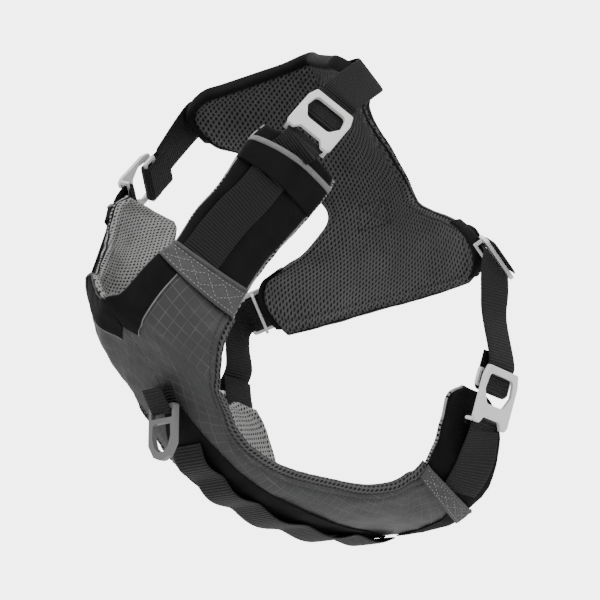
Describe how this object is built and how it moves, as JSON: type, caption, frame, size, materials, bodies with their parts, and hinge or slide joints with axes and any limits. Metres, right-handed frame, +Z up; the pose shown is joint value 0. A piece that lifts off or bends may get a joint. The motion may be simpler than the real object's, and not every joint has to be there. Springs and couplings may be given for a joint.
{
  "type": "dog harness",
  "caption": "Front-leash dog harness with padded back panel, ripstop chest panel, nesting slide buckles, webbing straps, a grab handle and metal leash rings at chest and back",
  "frame": {"origin": "On the harness's symmetry plane, inside the barrel where the dog's chest goes", "axes": "+X is the dog's left, -Y is forward (towards the head), +Z is up"},
  "size_m": [0.2336, 0.2461, 0.3063],
  "materials": {
    "air_mesh_dark": "open-hole spacer mesh, dull",
    "air_mesh_light": "open-hole spacer mesh, dull",
    "foam": "padding core, hidden",
    "black_knit": "smooth stretch knit with a faint sheen",
    "webbing": "ribbed polyester webbing",
    "ripstop": "charcoal ripstop weave, slight sheen",
    "grey_band": "grey grosgrain band",
    "piping": "grey reflective piping",
    "grey_metal": "satin grey cast ring",
    "silver_metal": "satin silver cast metal"
  },
  "bodies": {
    "harness": {"back_lining": "air_mesh_dark", "back_padding": "foam", "back_outer": "black_knit", "neck_binding": "black_knit", "spine_webbing": "webbing", "centre_strip": "black_knit", "sternum_webbing": "webbing", "grab_handle": "webbing", "chest_ring_tab": "webbing", "back_ring_tab": "webbing", "chest_shell_left": "ripstop", "chest_padding_left": "foam", "chest_lining_left": "air_mesh_light", "shoulder_pad_left": "black_knit", "belly_pad_left": "black_knit", "shoulder_band_left": "grey_band", "belly_band_left": "grey_band", "shoulder_sleeve_left": "black_knit", "sleeve_piping_left": "piping", "neck_collar_left": "black_knit", "shoulder_strap_left": "webbing", "shoulder_webbing_left": "webbing", "shoulder_nest_ring_left": "silver_metal", "girth_strap_left": "webbing", "girth_tail_left": "webbing", "belly_webbing_left": "webbing", "belly_nest_ring_left": "silver_metal", "chest_shell_right": "ripstop", "chest_padding_right": "foam", "chest_lining_right": "air_mesh_light", "shoulder_pad_right": "black_knit", "belly_pad_right": "black_knit", "shoulder_band_right": "grey_band", "belly_band_right": "grey_band", "shoulder_sleeve_right": "black_knit", "sleeve_piping_right": "piping", "neck_collar_right": "black_knit", "shoulder_strap_right": "webbing", "shoulder_webbing_right": "webbing", "shoulder_nest_ring_right": "silver_metal", "girth_strap_right": "webbing", "girth_tail_right": "webbing", "belly_webbing_right": "webbing", "belly_nest_ring_right": "silver_metal"},
    "chest_leash_ring": {"chest_ring": "grey_metal"},
    "back_leash_ring": {"back_ring": "grey_metal"},
    "shoulder_buckle_left": {"shoulder_buckle_left": "silver_metal"},
    "belly_buckle_left": {"belly_buckle_left": "silver_metal"},
    "rear_slider_left": {"rear_slider_left": "silver_metal"},
    "shoulder_buckle_right": {"shoulder_buckle_right": "silver_metal"},
    "belly_buckle_right": {"belly_buckle_right": "silver_metal"},
    "rear_slider_right": {"rear_slider_right": "silver_metal"}
  },
  "joints": [
    {"name": "chest_ring_swing", "type": "hinge", "parent": "harness", "child": "chest_leash_ring", "pos_m": [0, -0.1382, -0.088], "axis": [1, 0, 0], "range_deg": [-80, 5]},
    {"name": "back_ring_swing", "type": "hinge", "parent": "harness", "child": "back_leash_ring", "pos_m": [0, 0.0575, 0.044], "axis": [1, 0, 0], "range_deg": [-5, 100]},
    {"name": "shoulder_buckle_tilt_left", "type": "hinge", "parent": "harness", "child": "shoulder_buckle_left", "pos_m": [0.07386, -0.10111, 0.06304], "axis": [0.4504, 0.6588, -0.6026], "range_deg": [0, 10]},
    {"name": "belly_buckle_tilt_left", "type": "hinge", "parent": "harness", "child": "belly_buckle_left", "pos_m": [0.10196, 0.02214, -0.08829], "axis": [0.0005, 0.9917, -0.1282], "range_deg": [0, 10]},
    {"name": "rear_slider_shift_left", "type": "slide", "parent": "harness", "child": "rear_slider_left", "axis": [0.7062, -0.5912, -0.3894], "range_m": [-0.002, 0.002]},
    {"name": "shoulder_buckle_tilt_right", "type": "hinge", "parent": "harness", "child": "shoulder_buckle_right", "pos_m": [-0.07386, -0.10111, 0.05704], "axis": [0.4504, -0.6588, 0.6026], "range_deg": [0, 10]},
    {"name": "belly_buckle_tilt_right", "type": "hinge", "parent": "harness", "child": "belly_buckle_right", "pos_m": [-0.10196, 0.02214, -0.07229], "axis": [0.0005, -0.9917, 0.1282], "range_deg": [0, 10]},
    {"name": "rear_slider_shift_right", "type": "slide", "parent": "harness", "child": "rear_slider_right", "axis": [-0.7062, -0.5912, -0.3894], "range_m": [-0.002, 0.002]}
  ]
}
